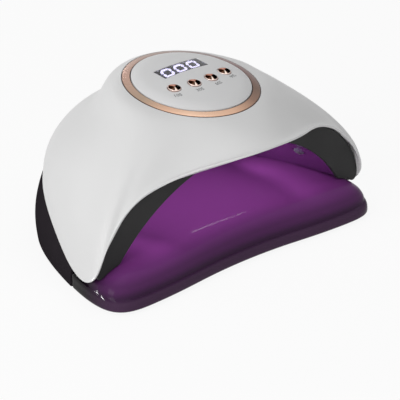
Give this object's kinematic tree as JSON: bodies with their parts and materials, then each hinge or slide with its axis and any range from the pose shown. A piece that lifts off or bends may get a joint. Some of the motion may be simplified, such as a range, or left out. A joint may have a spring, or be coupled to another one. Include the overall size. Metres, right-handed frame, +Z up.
{
  "type": "uv nail lamp",
  "caption": "Domed table-top UV nail lamp: white hood with a leaf-shaped brim over an arched hand opening, round tilted control panel with display and buttons, dark rear skirt, lift-off floor tray.",
  "frame": {"origin": "middle of the lamp's footprint, on the table under the rubber feet", "axes": "+Z up, -Y towards the user and the hand opening, +X to the right as seen from behind the hand"},
  "size_m": [0.2276, 0.1869, 0.1135],
  "materials": {
    "hood_white": "glossy moulded",
    "panel_white": "satin gloss",
    "skirt_black": "glossy moulded",
    "charcoal": "fine matt",
    "tray_purple": "glossy moulded",
    "rose_gold": "plated, satin",
    "display_dark": "smoked window",
    "reflector": "bright reflector",
    "lens": "clear lens",
    "dark_lens": "dark lens",
    "frame_grey": "matt moulded",
    "board_green": "solder mask",
    "wire": "wire sleeve",
    "screw_steel": "zinc plated",
    "magnet": "nickel plated",
    "foot_rubber": "matt rubber"
  },
  "bodies": {
    "base": {"base_tray": "tray_purple", "tray_bottom_plate": "frame_grey", "tray_magnets": "magnet", "tray_screws": "screw_steel", "rubber_feet": "foot_rubber"},
    "upper_lamp": {"top_shell": "hood_white", "lower_housing": "skirt_black", "arch_bezel": "charcoal", "reflector_liner": "reflector", "led_lenses": "lens", "led_strips": "board_green", "ir_sensors": "dark_lens", "inner_frame": "frame_grey", "liner_screws": "screw_steel", "housing_magnets": "magnet", "dc_jack": "skirt_black", "wire_harness": "wire", "trim_ring": "rose_gold", "control_panel": "panel_white", "display_window": "display_dark", "display_module": "skirt_black", "tact_switches": "skirt_black", "main_board": "board_green", "board_components": "skirt_black", "board_screws": "screw_steel"},
    "button_10s_body": {"button_10s": "rose_gold"},
    "button_30s_body": {"button_30s": "rose_gold"},
    "button_60s_body": {"button_60s": "rose_gold"},
    "button_99s_body": {"button_99s": "rose_gold"}
  },
  "joints": [
    {"name": "lift_off", "type": "slide", "parent": "base", "child": "upper_lamp", "axis": [0, 0, 1], "range_m": [0, 0.06]},
    {"name": "press_10s", "type": "slide", "parent": "upper_lamp", "child": "button_10s_body", "axis": [0, 0.1668, -0.986], "range_m": [0, 0.0006], "stiffness_N_per_m": 400, "springref_m": -0.0004},
    {"name": "press_30s", "type": "slide", "parent": "upper_lamp", "child": "button_30s_body", "axis": [0, 0.1668, -0.986], "range_m": [0, 0.0006], "stiffness_N_per_m": 400, "springref_m": -0.0004},
    {"name": "press_60s", "type": "slide", "parent": "upper_lamp", "child": "button_60s_body", "axis": [0, 0.1668, -0.986], "range_m": [0, 0.0006], "stiffness_N_per_m": 400, "springref_m": -0.0004},
    {"name": "press_99s", "type": "slide", "parent": "upper_lamp", "child": "button_99s_body", "axis": [0, 0.1668, -0.986], "range_m": [0, 0.0006], "stiffness_N_per_m": 400, "springref_m": -0.0004}
  ]
}
